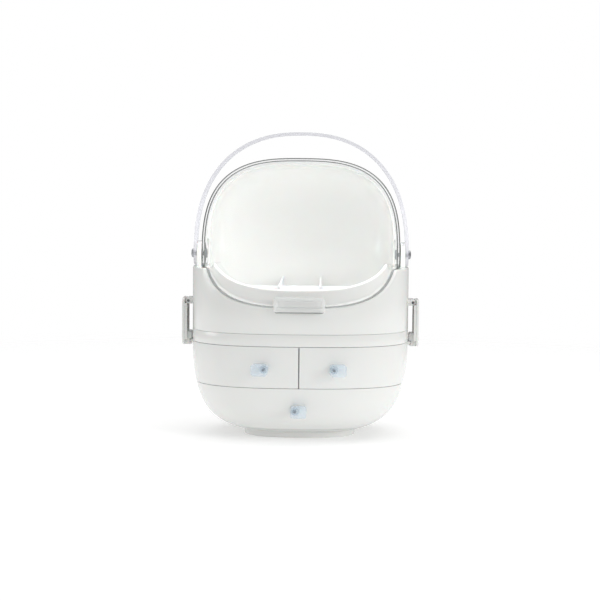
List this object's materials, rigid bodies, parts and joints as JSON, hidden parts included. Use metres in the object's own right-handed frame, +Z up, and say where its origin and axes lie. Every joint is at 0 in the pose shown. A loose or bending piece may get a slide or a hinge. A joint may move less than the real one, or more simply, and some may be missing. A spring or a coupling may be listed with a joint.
{
  "type": "makeup organizer",
  "caption": "Egg-shaped dustproof makeup box: clear flip-up visor lid and carrying arch on a white upper box, clasped onto a cabinet with slide-out drawers and pale blue knobs.",
  "frame": {"origin": "middle of the flat face that the foot stands on", "axes": "+Z up, the drawers open towards -Y, +X to the right as seen from the front"},
  "size_m": [0.2632, 0.2092, 0.335],
  "materials": {
    "white_shell": "glossy white moulding",
    "white_inner": "milky white moulding",
    "clear_lid": "clear polystyrene",
    "clear_handle": "clear polystyrene with grey edges",
    "knob_blue": "pale blue translucent",
    "steel": "bright"
  },
  "bodies": {
    "organizer": {"cabinet_shell": "white_shell", "foot_base": "white_shell", "drawer_shelf": "white_inner", "centre_partition": "white_inner", "cabinet_deck": "white_inner", "base_tray": "white_shell", "tub": "white_shell", "clasp_lugs_left": "white_shell", "clasp_lugs_right": "white_shell", "back_cover": "white_shell", "divider_left": "white_inner", "divider_right": "white_inner", "divider_cross": "white_inner", "pivot_pin_left": "steel", "pivot_pin_right": "steel", "pivot_cap_left": "steel", "pivot_cap_right": "steel", "latch_pins": "steel"},
    "left_drawer": {"left_drawer_front": "white_shell", "left_drawer_tray": "white_inner", "left_knob": "knob_blue", "left_knob_screw": "steel"},
    "right_drawer": {"right_drawer_front": "white_shell", "right_drawer_tray": "white_inner", "right_knob": "knob_blue", "right_knob_screw": "steel"},
    "wide_drawer": {"wide_drawer_front": "white_shell", "wide_drawer_tray": "white_inner", "wide_knob": "knob_blue", "wide_knob_screw": "steel"},
    "lid": {"lid": "clear_lid"},
    "handle": {"handle": "clear_handle"},
    "left_latch": {"latch_left": "white_shell"},
    "right_latch": {"latch_right": "white_shell"}
  },
  "joints": [
    {"name": "lid_flip", "type": "hinge", "parent": "organizer", "child": "lid", "pos_m": [0, 0, 0.2], "axis": [-1, 0, 0], "range_deg": [0, 90]},
    {"name": "handle_swing", "type": "hinge", "parent": "organizer", "child": "handle", "pos_m": [0, 0, 0.2], "axis": [1, 0, 0], "range_deg": [-85, 85]},
    {"name": "left_latch_hinge", "type": "hinge", "parent": "organizer", "child": "left_latch", "pos_m": [-0.125, 0, 0.1475], "axis": [0, 1, 0], "range_deg": [0, 75]},
    {"name": "right_latch_hinge", "type": "hinge", "parent": "organizer", "child": "right_latch", "pos_m": [0.125, 0, 0.1475], "axis": [0, -1, 0], "range_deg": [0, 75]},
    {"name": "left_drawer_slide", "type": "slide", "parent": "organizer", "child": "left_drawer", "axis": [0, -1, 0], "range_m": [0, 0.08]},
    {"name": "right_drawer_slide", "type": "slide", "parent": "organizer", "child": "right_drawer", "axis": [0, -1, 0], "range_m": [0, 0.08]},
    {"name": "wide_drawer_slide", "type": "slide", "parent": "organizer", "child": "wide_drawer", "axis": [0, -1, 0], "range_m": [0, 0.08]}
  ]
}
